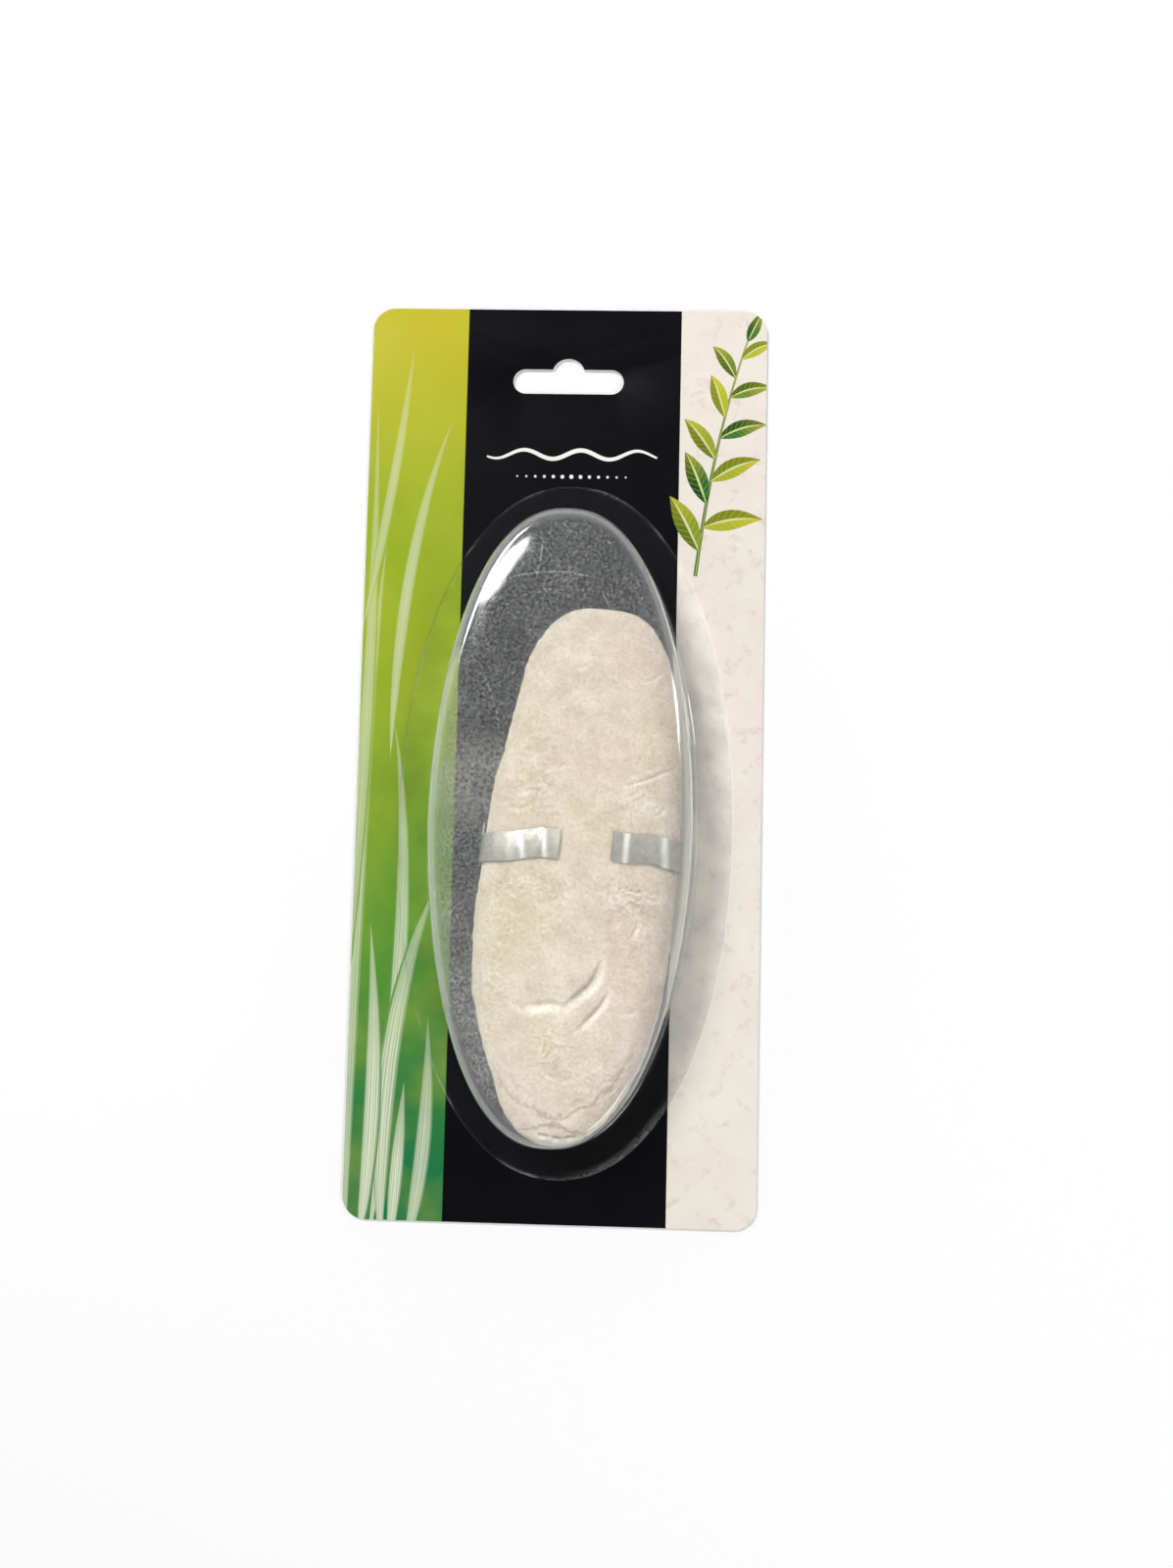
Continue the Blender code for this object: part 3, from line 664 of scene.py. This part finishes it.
def carved_bone(finish):
    """The bone as one closed mesh, with the painted shade and highlight of its skin and its yellow and
    pink patches kept as attributes.
    """
    narrow = NARROW_END * spread(np.arange(1 - NARROW_ROWS, 0) / NARROW_ROWS, NARROW_BIAS)
    broad = BROAD_END * spread(np.arange(BROAD_ROWS) / BROAD_ROWS, BROAD_BIAS)
    rows = np.concatenate([narrow, broad])
    face = face_turn(spread(1 - 2 * np.arange(FACE_STEPS) / FACE_STEPS, FACE_BIAS))
    turns = np.concatenate([face, 180 + 180 * np.arange(BACK_STEPS) / BACK_STEPS])
    y, turn = (grid.ravel() for grid in np.meshgrid(rows, turns, indexing="ij"))
    points = bone_surface(y, turn)
    x = points[:, 0]
    on_face = (turn > 0) & (turn < 180)
    flat = points * (1, 1, 0)

    half_width = bone_half_width(y)
    clear_of_edge = 1 - np.minimum(np.abs(x) / half_width, 1.0) ** EDGE_CALM
    middle, bed, blend = CLIP_BED
    clear_of_clip = np.clip((np.abs(y - middle) - bed) / blend, 0, 1)
    thickness = taper(y, THICKNESS_TAPER)

    big = noise_layers(flat, LUMPS)
    fine = noise_layers(points, BUMPS)
    warp = np.stack([noise_field(flat, WARP_SPACING, shift) for shift in (40.0, 80.0)] + [0 * x], 1)
    ridges = flat * (0.75, 1.25, 1) + 2.2 * warp
    ridges = 1 - 2 * np.abs(noise_field(ridges, WRINKLE_SPACING, 20.0))
    wrinkled = patches(x, y, CRUMBLED)
    wrinkles = wrinkled * (np.maximum(ridges, 0) ** 2 - 0.35)
    # Thin broken cracks between the plates, and pores
    cracks = noise_field(flat * (0.7, 1.3, 1) + 1.6 * warp, CRACK_SPACING, 120.0)
    cracks = np.exp(-(cracks / CRACK_WIDTH) ** 2)
    cracks *= np.clip(2.4 * noise_field(flat, CRACK_PATCH_SPACING, 150.0), 0, 1)
    wrinkles -= (0.05 + 0.45 * wrinkled) * cracks
    pores = np.clip(noise_field(flat, PORE_SPACING, 60.0) - 0.25, 0, 1)
    pores *= -(0.07 + 0.5 * wrinkled)
    # Plates end on the face in faint waves across the bone
    plates = (y + 0.012 * x ** 2 + 1.2 * warp[:, 0]) * 2 * math.pi / PLATE_SPACING
    plates = PLATE_HEIGHT * np.sin(plates) * np.clip(0.5 + 1.5 * warp[:, 1], 0, 1)

    marks, painted_shade, bared_and_lit = np.zeros((3, len(x)))  # relief, painted shade along the steep side of cuts and steps, and newly bared chalk with painted highlight on the lit slopes
    places = points[:, :2]
    for line, reach, depth, dark in SCRAPES:
        away, along = from_line(places, line)
        fade = np.sin(math.pi * np.clip(along, 0.04, 0.96)) ** 0.6
        steep, slope = SCRAPE_SIDES
        cut = np.where(away > 0, slope, steep) * reach * (0.45 + 0.55 * fade)
        marks -= depth * fade * np.exp(-(away / cut) ** 2)
        # Painted shade along the steep side of the cut, which faces away from the light
        painted_shade += dark * depth * fade * np.exp(-(away / (0.32 * reach)) ** 2)
        # Newly bared white chalk on the long slope, and painted highlight where it faces the light
        bared_and_lit += min(depth, 1.0) * fade * np.exp(-((away - 1.3 * reach) / (0.8 * reach)) ** 2)
    jagged = noise_layers(flat, JAGS)
    for line, drop in GROWTH_STEPS:
        away, along = from_line(places, line)
        away = away + jagged
        drop = drop * np.sin(math.pi * np.clip(along, 0.05, 0.95)) ** 0.4
        marks -= drop * np.exp(-(away / np.where(away > 0, *STEP_FOOT)) ** 2)
        # Painted shade along the cliff of each step
        painted_shade += 1.5 * drop * np.exp(-((away + 0.1) / 0.36) ** 2)

    soft = (big + marks) * clear_of_clip * clear_of_edge * thickness
    skin = (fine + wrinkles + pores + plates) * (0.25 + 0.75 * clear_of_clip) * thickness ** 0.5
    points[:, 2] += np.where(on_face, soft + skin * clear_of_edge, 0)
    # The thin rim between face and shield is chipped and powdery
    rim = np.exp(-((points[:, 2] - edge_level(y)) / RIM_REACH) ** 2) * clear_of_clip
    chips = noise_layers(points, CHIPS)
    points[:, 0] += np.sign(x) * rim * chips * (np.abs(x) / half_width) ** 4
    # The shield has fine grains in rows that follow its growth
    grains = noise_field(points * (1, 1, 0.5), GRAIN_SPACING, 90.0)
    arcs = np.sin((np.hypot(x, y + NARROW_END + 20) + warp[:, 0]) * 2 * math.pi / ARC_SPACING)
    shield = (GRAIN_HEIGHT * grains + ARC_HEIGHT * arcs) * clear_of_edge * thickness
    points[:, 2] -= np.where(on_face, 0, shield)
    points[:, 0] += np.where(y < 0, NARROW_END_BOW * np.sin(math.pi * along_bone(y)), 0)
    points[:, 0] += edge_stray(x, y)

    yellow, pink = patches(x, y, YELLOW_PATCHES), patches(x, y, PINK_PATCHES)
    # Painted shade and highlight from the relief: above 0 where the skin lies low or under a cut's steep
    # side, below 0 where it stands up or on a cut's lit slope. On the shield it follows the grains
    hollow = np.where(on_face, 0.8 * painted_shade - 1.0 * bared_and_lit - 0.9 * skin - 0.2 * big, 0.15 * grains)
    builder = bmesh.new()
    rings = add_rings(builder, points.reshape(len(rows), len(turns), 3))
    tips = ((rings[0], -NARROW_END), (rings[-1], BROAD_END))
    for ring, end in tips:
        close_tip(builder, ring, (0, end, edge_level(np.array(end))))
    piece = make_piece("chalky_cuttlebone", builder, (finish,), 60)
    shading_and_stains = np.stack([hollow, yellow, pink], 1)
    shading_and_stains = np.vstack([shading_and_stains, shading_and_stains[:len(tips)] * 0])
    layer = piece.data.attributes.new("hollow_yellow_pink", "FLOAT_VECTOR", "POINT")
    layer.data.foreach_set("vector", shading_and_stains.astype(np.float32).ravel())
    bone_in_place(piece)
    return piece


# Dried aragonite: white chalk gone cream with age, quite matt and floury, with painted shade where it is
# pitted or cut and painted highlight where it stands up
bone_finish, node, place = new_finish("dried_cuttlebone_chalk")
skin_at = node("Attribute hollow_yellow_pink").outputs["Vector"]
hollow, yellow, pink = node("SeparateXYZ", (skin_at,)).outputs
blotches = node("TexNoise", (place, 1 / 6.0, 6.0, 0.65))
blotch_share = node("MapRange", (blotches, 0.34, 0.66))
chalk = node("Mix", (blotch_share, "#BCAD9B", "#D0C3B5"))
speckle = node("TexNoise", (place, 1 / 1.6, 5.0, 0.7))
patchy = node("MapRange", (speckle, 0.3, 0.65, 0.35, 1.15))
yellow_share = node("Math MULTIPLY", (yellow, patchy), use_clamp=True)
for share, tint in ((yellow_share, "#C0B28C"), (pink, "#C6B0A1")):
    share = node("Math MULTIPLY", (share, 0.55), use_clamp=True)
    chalk = node("Mix", (share, chalk, tint))
for none, full, strength, tint in (
    (0.08, 0.65, 0.55, "#8F8069"),  # painted shade in the pits and cracks and along the steep side of cuts and growth steps
    (-0.05, -0.38, 0.56, "#DED6CA"),  # painted highlight on what stands up
    (-0.45, -0.95, 0.7, "#EDE6DB"),  # chalk still white, bared by the long slope of a scrape, and painted highlight where that slope faces the light
):
    share = node("MapRange", (hollow, none, full, 0.0, strength))
    chalk = node("Mix", (share, chalk, tint))
# Freckles of 0.5 to 1 mm, where grains have fallen out or dirt has lodged
freckles = node("TexNoise", (place, 1 / 0.8, 3.0, 0.7))
freckle = node("MapRange", (freckles, 0.50, 0.66, 0.0, 0.4))
chalk = node("Mix MULTIPLY", (freckle, chalk, "#CFC2B0"))
# Loose grains of about 0.25 mm stand on the skin, drawn twice as coarse to show
dust = node("TexNoise", (place, 1 / 0.5, 3.0, 0.7))
relief = node("Bump", {"Height": dust, "Distance": 0.12 * MM, "Strength": 0.9})
chalk_skin = node("BsdfPrincipled", {"Base Color": chalk, "Roughness": 0.93, "Diffuse Roughness": 0.6,
                                     "Normal": relief, "IOR": 1.4, "Specular IOR Level": 0.25})
node("OutputMaterial", (chalk_skin,))

bone = carved_bone(bone_finish)
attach(bone, "root")
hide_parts("cuttlebone")

# Clip
# One strip of zinc-plated mild steel, blanked, bent by hand round the back of the bone and laid
# on its face as two arms, with a small spur sheared out of its left side.
CLIP_WIDTH = 8.0
CLIP_THICKNESS = 0.5
CLIP_Y = 19.0
CLIP_ARM_ENDS = (-5.5, 8.2)
ARM_END_RISE = (0.0, 1.0)
SIDE_RISE = (-4.4, -0.4)
CLIP_CLEARANCE = 0.35
CLIP_PLAY = 0.1  # more room than that under the hand-bent strip
TWIST = (0.05, 0.35)  # height, and radians to each degree of turn
ARM_END_CURL = (0.08, 3.0)  # height, and degrees of turn over which it falls off
CLIP_STEPS = 560
CLIP_EDGE_ROUNDING = 0.12
SPUR_HEIGHT = 3.6
SPUR_TURN = 176.0
SPUR_SPAN = 4.5
# Kinks left by the fingers that bent it: place across the bone, height, reach and slant
KINKS = (
    (-18.6, 0.03, 0.8, -0.6),
    (-15.5, 0.12, 0.6, -1.0),
    (-9.6, 0.14, 0.6, -0.8),
    (11.8, 0.18, 0.6, 0.0),
    (17.0, -0.12, 1.6, 0.0),
    (21.9, 0.17, 0.8, -0.3),
)
EDGE_WAVE = (0.32, 15.0)  # how far the cut edges stray on the face, and over what length


def clip_centre(turn, turns):
    """The middle of the strip's width at a turn, straight between the arms' ends and the bone's
    two edges."""
    places = (turns[0], 180, 360, turns[-1])
    rises = (ARM_END_RISE[0], *SIDE_RISE, ARM_END_RISE[1])
    return CLIP_Y + np.interp(turn, places, rises)


def strip_section():
    """The strip's rounded section: each corner's side, its inset from that edge, its height."""
    r = CLIP_EDGE_ROUNDING
    corners = []
    high = CLIP_THICKNESS - r
    for side, level, start in ((1, r, -90), (1, high, 0), (-1, high, 90), (-1, r, 180)):
        for across, up in arc((0, 0), r, start, start + 90, 3):
            corners.append((side, across - side * r, level + up))
    return corners


def bent_strip(finish):
    """The clip as one closed mesh."""
    start, end = (float(face_turn(x / bone_half_width(np.array(CLIP_Y)))) for x in CLIP_ARM_ENDS)
    turns = np.linspace(start, end + 360, CLIP_STEPS + 1)
    rings, strip_at = [], []
    for turn in turns:
        centre = float(clip_centre(turn, turns))
        spur = SPUR_HEIGHT * max(0.0, 1 - abs(turn - SPUR_TURN) / SPUR_SPAN)
        on_face = math.sin(math.radians(turn)) > 0.05
        x = float(bone_surface(np.array(CLIP_Y), turn)[0])
        stray = EDGE_WAVE[0] * math.sin(2 * math.pi * x / EDGE_WAVE[1]) if on_face else 0.0
        nearest_end = min(turn - turns[0], turns[-1] - turn)
        curl = ARM_END_CURL[0] * math.exp(-nearest_end / ARM_END_CURL[1])
        ring = []
        for side, inset, up in strip_section():
            y = centre + stray + side * CLIP_WIDTH / 2 + inset + (spur if side > 0 else 0.0)
            bow = sum(
                rise * math.exp(-((x - kink - slant * side) / reach) ** 2)
                for kink, rise, reach, slant in KINKS if on_face
            )
            twist = TWIST[0] * math.sin(TWIST[1] * turn + side)
            lift = CLIP_CLEARANCE + CLIP_PLAY + bow + curl + twist + up
            ring.append(bone_surface(np.array(y), turn, lift))
            strip_at.append((x if on_face else 99.0, side, 0.0))
        rings.append(ring)
    builder = bmesh.new()
    add_rings(builder, np.array(rings), capped=True)
    piece = make_piece("bent_metal_clip", builder, (finish,), 40)
    layer = piece.data.attributes.new("strip_at", "FLOAT_VECTOR", "POINT")
    layer.data.foreach_set("vector", np.array(strip_at, dtype=np.float32).ravel())
    bone_in_place(piece)
    return piece


# Zinc-plated mild steel, rolled and gone dull: a grey satin metal with faint rolling lines along
# the strip, patches of darker bloom, and painted highlights as bright streaks on the kinks
clip_finish, node, place = new_finish("dull_zinc_plated_steel")
lines = node("Mapping", {"Vector": place, "Scale": (0.06, 1.0, 0.3)})
rolling = node("TexNoise", (lines, 1 / 0.35, 4.0, 0.6))
bloom = node("TexNoise", (place, 1 / 2.4, 6.0, 0.65))
zinc = node("Mix", (rolling, "#928C85", "#B9B3AB"))
bloom_share = node("MapRange", (bloom, 0.45, 0.7, 0.0, 0.6))
bloomed = node("Mix", (bloom_share, zinc, "#84817C"))
satin = node("MapRange", (bloom, 0.0, 1.0, 0.42, 0.62))
relief = node("Bump", {"Height": rolling, "Distance": 0.07 * MM, "Strength": 0.8})
# Painted highlight: a bright streak on the ridge of each raised kink, from edge to edge of the strip
strip_at = node("Attribute strip_at").outputs["Vector"]
along_strip, across_strip, _ = node("SeparateXYZ", (strip_at,)).outputs
for kink, rise, reach, slant in KINKS:
    if rise > 0:
        off = node("Math MULTIPLY_ADD", (across_strip, -slant, along_strip))
        off = node("Math SUBTRACT", (off, kink))
        off = node("Math ABSOLUTE", (off,))
        painted_streak = node("MapRange SMOOTHSTEP", (off, 2.2 * reach, 0.0, 0.0, 4.5 * rise))
        bloomed = node("Mix", (painted_streak, bloomed, "#F2F0EC"))
plating = node("BsdfPrincipled", {"Base Color": bloomed, "Metallic": 1.0, "Roughness": satin,
                                  "Normal": relief})
node("OutputMaterial", (plating,))

clip = bent_strip(clip_finish)
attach(clip, "root")
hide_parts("clip")

# Blister
# One sheet of clear PET, heated and drawn by vacuum over an oval mould, then trimmed. Its flat
# flange is heat-sealed to the card. The crown stands proudest and has been rubbed in transit.
SHEET_THICKNESS = 0.35
FLANGE_WIDTH = 10.2
DOME_HEIGHT = 21.5
DOME_DRAFT = 1.5
FOOT_RADIUS = 1.0
SHOULDER_RADIUS = 4.2
CROWN_RISE = 1.2
CROWN_SPAN = 12.0  # from the shoulder to where the crown is level
CROWN_REACH = 36.2  # inset of the innermost ring
SEAL_GAP = 0.3
BLISTER_STEPS = 288
RIPPLE = ((23.0, 0.16, 5.0), (9.0, 0.035, 5.0))  # layers of the crown's unevenness


def blister_oval(inset):
    """The oval at an inset: the dome's own inside it, and from there out to the flange's edge."""
    outward = min(max(-inset / FLANGE_WIDTH, 0.0), 1.0)
    centre = [d + (f - d) * outward for d, f in zip(DOME_CENTRE, FLANGE_CENTRE)]
    powers = [d + (f - d) * outward for d, f in zip(DOME_ROUNDNESS, FLANGE_ROUNDNESS)]
    half = [
        (d - max(inset, 0.0)) * (1 - outward) + f * outward
        for d, f in zip(DOME_HALF_SIZE, FLANGE_HALF_SIZE)
    ]
    turns = np.linspace(0, 2 * math.pi, BLISTER_STEPS, endpoint=False)
    across, up = (
        np.sign(wave) * np.abs(wave) ** (2 / power)
        for power, wave in zip(powers, (np.cos(turns), np.sin(turns)))
    )
    sway = DOME_SWAY * (1 - outward) * np.minimum(up, 0.0) ** 2
    return np.stack([centre[0] + half[0] * across - sway, centre[1] + half[1] * up], 1)


def sheet_profile():
    """The sheet's upper face as inset, height and zone, which is 0 at the flange's trimmed edge,
    1 at the foot, 2 at the shoulder and 3 on the crown."""
    flange_top = CARD_THICKNESS + SEAL_GAP + SHEET_THICKNESS
    crown_edge = CARD_THICKNESS + DOME_HEIGHT - CROWN_RISE
    crown_slope = math.degrees(math.atan(CROWN_RISE * math.pi / 2 / CROWN_SPAN))
    wall_low, wall_high = flange_top + FOOT_RADIUS, crown_edge - SHOULDER_RADIUS
    profile = [(-FLANGE_WIDTH * (1 - share), flange_top, share) for share in np.linspace(0, 0.86, 7)]
    profile += [(*point, 1.0) for point in arc((-FOOT_RADIUS, wall_low), FOOT_RADIUS, -90, 0, 6)]
    for share in np.linspace(0.1, 0.9, 5):
        profile.append((DOME_DRAFT * share, wall_low + (wall_high - wall_low) * share, 1 + share))
    shoulder = arc((DOME_DRAFT + SHOULDER_RADIUS, wall_high), SHOULDER_RADIUS, 180, 90 + crown_slope, 14)
    profile += [(*point, 2.0 + 0.5 * i / 14) for i, point in enumerate(shoulder)]
    shoulder_end, shoulder_top = shoulder[-1]
    for share in np.linspace(0, 1, 30)[1:]:
        inset = shoulder_end + (CROWN_REACH - shoulder_end) * share ** 1.4
        climb = math.sin(min((inset - shoulder_end) / CROWN_SPAN, 1.0) * math.pi / 2)
        profile.append((inset, shoulder_top + CROWN_RISE * climb, min(2.5 + 4 * share, 3.0)))
    return profile


def under_side(profile):
    """The profile's other face, one sheet thickness below or inside it."""
    offset = []
    for i, (inset, height, zone) in enumerate(profile):
        before, after = profile[max(i - 1, 0)], profile[min(i + 1, len(profile) - 1)]
        run = Vector((after[0] - before[0], after[1] - before[1])).normalized()
        if i == 0 or zone >= 3:
            run = Vector((1, 0))
        offset.append((inset + run.y * SHEET_THICKNESS, height - run.x * SHEET_THICKNESS, zone))
    return offset


def formed_sheet(finish):
    """The blister as one closed mesh, with the zones of its profile kept as an attribute."""
    profile = sheet_profile()
    loop = profile[::-1] + under_side(profile)
    points = np.array([
        [(x, y, height) for x, y in blister_oval(inset)] for inset, height, zone in loop
    ])
    zones = np.repeat([zone for inset, height, zone in loop], BLISTER_STEPS)
    flat = points.reshape(-1, 3) * (1, 1, 0)
    ripple = np.abs(noise_layers(flat, RIPPLE)) * np.clip(zones - 2.2, 0, 0.8) / 0.8
    points[..., 2] -= ripple.reshape(points.shape[:2])
    builder = bmesh.new()
    add_rings(builder, points, capped=True)
    piece = make_piece("clear_blister", builder, (finish,), 50)
    layer = piece.data.attributes.new("zone", "FLOAT", "POINT")
    layer.data.foreach_set("value", zones.astype(np.float32))
    return piece


# Clear PET, thermoformed: water-clear and glossy, with bright lines where it bends, a rubbed haze
# on the crown, milky walls, and scuffs on the flange
sheet_finish, node, place = new_finish("thermoformed_clear_PET")
zone = node("Attribute zone").outputs["Fac"]
crown = node("MapRange SMOOTHSTEP", (zone, 2.40, 2.62))
# The haze is made of grains too fine to see one by one, drawn here as clots 1.6 mm apart. It is
# thickest at the lower left, where the pack has been rubbed the most
WORN_AT = (-24.0, -84.0)
clots = node("TexNoise", (place, 1 / 0.8, 2.0, 0.7))
rubbed = node("TexNoise", (place, 1 / 14.0, 3.0))
haze = node("MapRange", (clots, 0.38, 0.64, 0.022, 0.088))
haze_swell = node("MapRange", (rubbed, 0.3, 0.7, 0.75, 1.25))
way = node("VectorMath DISTANCE", (place, (*WORN_AT, DOME_HEIGHT)))
worn = node("MapRange", (way, 52.0, 12.0, 1.0, 1.6))
for factor in (haze_swell, worn, crown):
    haze = node("Math MULTIPLY", (haze, factor))
# The walls were drawn the furthest and are milky from it
walls = node("MapRange SMOOTHSTEP", (zone, 0.9, 1.1))
walls = node("Math SUBTRACT", (walls, crown))
shoulder = node("MapRange SMOOTHSTEP", (zone, 1.8, 2.15, 0.028, 0.075))
cloud = node("Math MULTIPLY_ADD", (walls, shoulder, haze))

# Scratches on the crown, each an arc: middle, centre of its circle, half length and strength
SCRATCHES = (
    ((-2.5, 47.7), (-1.5, 8.2), 13.0, 0.12),
    ((-5.3, 51.4), (-85.0, 62.0), 6.5, 0.10),
    ((14.0, 38.0), (60.0, 66.0), 7.0, 0.08),
    ((-17.0, 12.0), (-80.0, -8.0), 9.0, 0.08),
)
flat_place = node("VectorMath MULTIPLY", (place, (1.0, 1.0, 0.0)))
broken = node("MapRange", (clots, 0.40, 0.55))
for middle, centre, half_length, strength in SCRATCHES:
    radius = math.dist(middle, centre)
    out = node("VectorMath DISTANCE", (flat_place, (*centre, 0.0)))
    off = node("Math SUBTRACT", (out, radius))
    off = node("Math ABSOLUTE", (off,))
    line = node("MapRange", (off, 0.30, 0.08, 0.0, strength))
    way = node("VectorMath DISTANCE", (flat_place, (*middle, 0.0)))
    span = node("MapRange SMOOTHSTEP", (way, half_length, half_length * 0.7))
    scratch = node("Math MULTIPLY", (line, span))
    scratch = node("Math MULTIPLY", (scratch, broken))
    cloud = node("Math MULTIPLY_ADD", (scratch, crown, cloud))

# The flange's trimmed edge is bruised white here and there, and scuffed where the pack was caught
SCUFF_AT = (22.0, -108.0)
edge = node("MapRange", (zone, 0.11, 0.03))
bruised = node("MapRange", (rubbed, 0.44, 0.62, 0.01, 0.08))
way = node("VectorMath DISTANCE", (place, (*SCUFF_AT, 1.0)))
scuffed = node("MapRange", (way, 20.0, 6.0, 0.0, 0.09))
wide_edge = node("MapRange", (zone, 0.24, 0.08))
scuff = node("Math MULTIPLY", (scuffed, wide_edge))
bruise = node("Math MULTIPLY_ADD", (edge, bruised, scuff))
cloud = node("Math MULTIPLY_ADD", (bruise, broken, cloud))
clear = node("Math SUBTRACT", (1.0, cloud))
gloss = node("MapRange", (cloud, 0.0, 0.1, 0.03, 0.12))
plastic = node("BsdfPrincipled", {"Base Color": "#F8FBFA", "Roughness": gloss, "IOR": 1.57,
                                  "Transmission Weight": clear})
# Lamps shine through the sheet, less so through the milky walls and where it is seen edge on
facing = node("LayerWeight", {"Blend": 0.5})
shade = node("MapRange", (facing.outputs["Facing"], 0.55, 1.0, 0.95, 0.55))
wall_shade = node("MapRange", (walls, 0.0, 1.0, 1.0, 0.48))
shade = node("Math MULTIPLY", (shade, wall_shade))
let_through = node("BsdfTransparent", (shade,))
shadow_ray = node("LightPath").outputs["Is Shadow Ray"]
sheet = node("MixShader", (shadow_ray, plastic, let_through))
node("OutputMaterial", (sheet,))

blister = formed_sheet(sheet_finish)
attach(blister, "root")
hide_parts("blister")

# Table, lights and camera
# The pack lies on a pale table in a white studio, all in metres: a soft key from the upper left,
# a tall strip on the right that draws a line in the dome, a weaker fill, and a dim ceiling above.
TABLE_SIZE = 2.0
TABLE_DROP = 0.0003  # keeps the table's face clear of the card's back
bpy.ops.mesh.primitive_plane_add(size=TABLE_SIZE, location=(0, 0, -TABLE_DROP))
table = bpy.context.object
table.name = "table"
table_finish, node, place = new_finish("pale_table")
top = node("BsdfPrincipled", {"Base Color": "#FBFBFB", "Roughness": 0.9, "Specular IOR Level": 0.1})
node("OutputMaterial", (top,))
table.data.materials.append(table_finish)


def add_panel(name, place, size, power, roll=0.0, in_gloss=True):
    """An oval soft light that shines at the card, rolled in degrees about its aim. The fill stands
    in for light off the room, so it draws no highlight."""
    light = bpy.data.lights.new(name, "AREA")
    light.shape = "ELLIPSE"
    light.size, light.size_y = size
    light.energy = power
    panel = bpy.data.objects.new(name, light)
    panel.location = place
    aim = (-Vector(place)).to_track_quat("-Z", "Y")
    panel.rotation_euler = (aim @ Quaternion((0, 0, 1), math.radians(roll))).to_euler()
    panel.visible_glossy = in_gloss
    bpy.context.collection.objects.link(panel)


add_panel("key_panel", (-0.630, 0.643, 1.12), (0.62, 0.44), 12.4, -9.0)
add_panel("strip_panel", (0.85, 0.30, 0.95), (0.08, 0.70), 2.2)
add_panel("fill_panel", (0.60, -0.80, 0.80), (0.50, 0.50), 4.6, in_gloss=False)

WALL_GLOW, CEILING_GLOW = 1.22, 0.03
world = bpy.data.worlds.new("studio")
bpy.context.scene.world = world
world.use_nodes = True
world.node_tree.nodes.clear()
node = functools.partial(add_node, world.node_tree)
_, _, height = node("SeparateXYZ", (node("TexCoord").outputs["Generated"],)).outputs
brightness = node("MapRange SMOOTHSTEP", (height, 0.25, 0.75, WALL_GLOW, CEILING_GLOW))
sky = node("Background", {"Color": (1.0, 1.0, 1.0, 1.0), "Strength": brightness})
node("OutputWorld", {"Surface": sky})
bpy.context.scene.view_settings.view_transform = "Standard"

CAMERA_PLACE = (0.02025, -0.04022, 0.39383)
CAMERA_TURN = (4.724, 1.694, 1.314)  # degrees about X, Y and Z, from looking straight down
CAMERA_LENS = 32.123
camera_data = bpy.data.cameras.new("camera")
camera_data.lens = CAMERA_LENS
camera_data.sensor_width = 36.0
camera_data.clip_start = 0.01
camera = bpy.data.objects.new("camera", camera_data)
camera.location = CAMERA_PLACE
camera.rotation_euler = [math.radians(turn) for turn in CAMERA_TURN]
bpy.context.collection.objects.link(camera)
bpy.context.scene.camera = camera
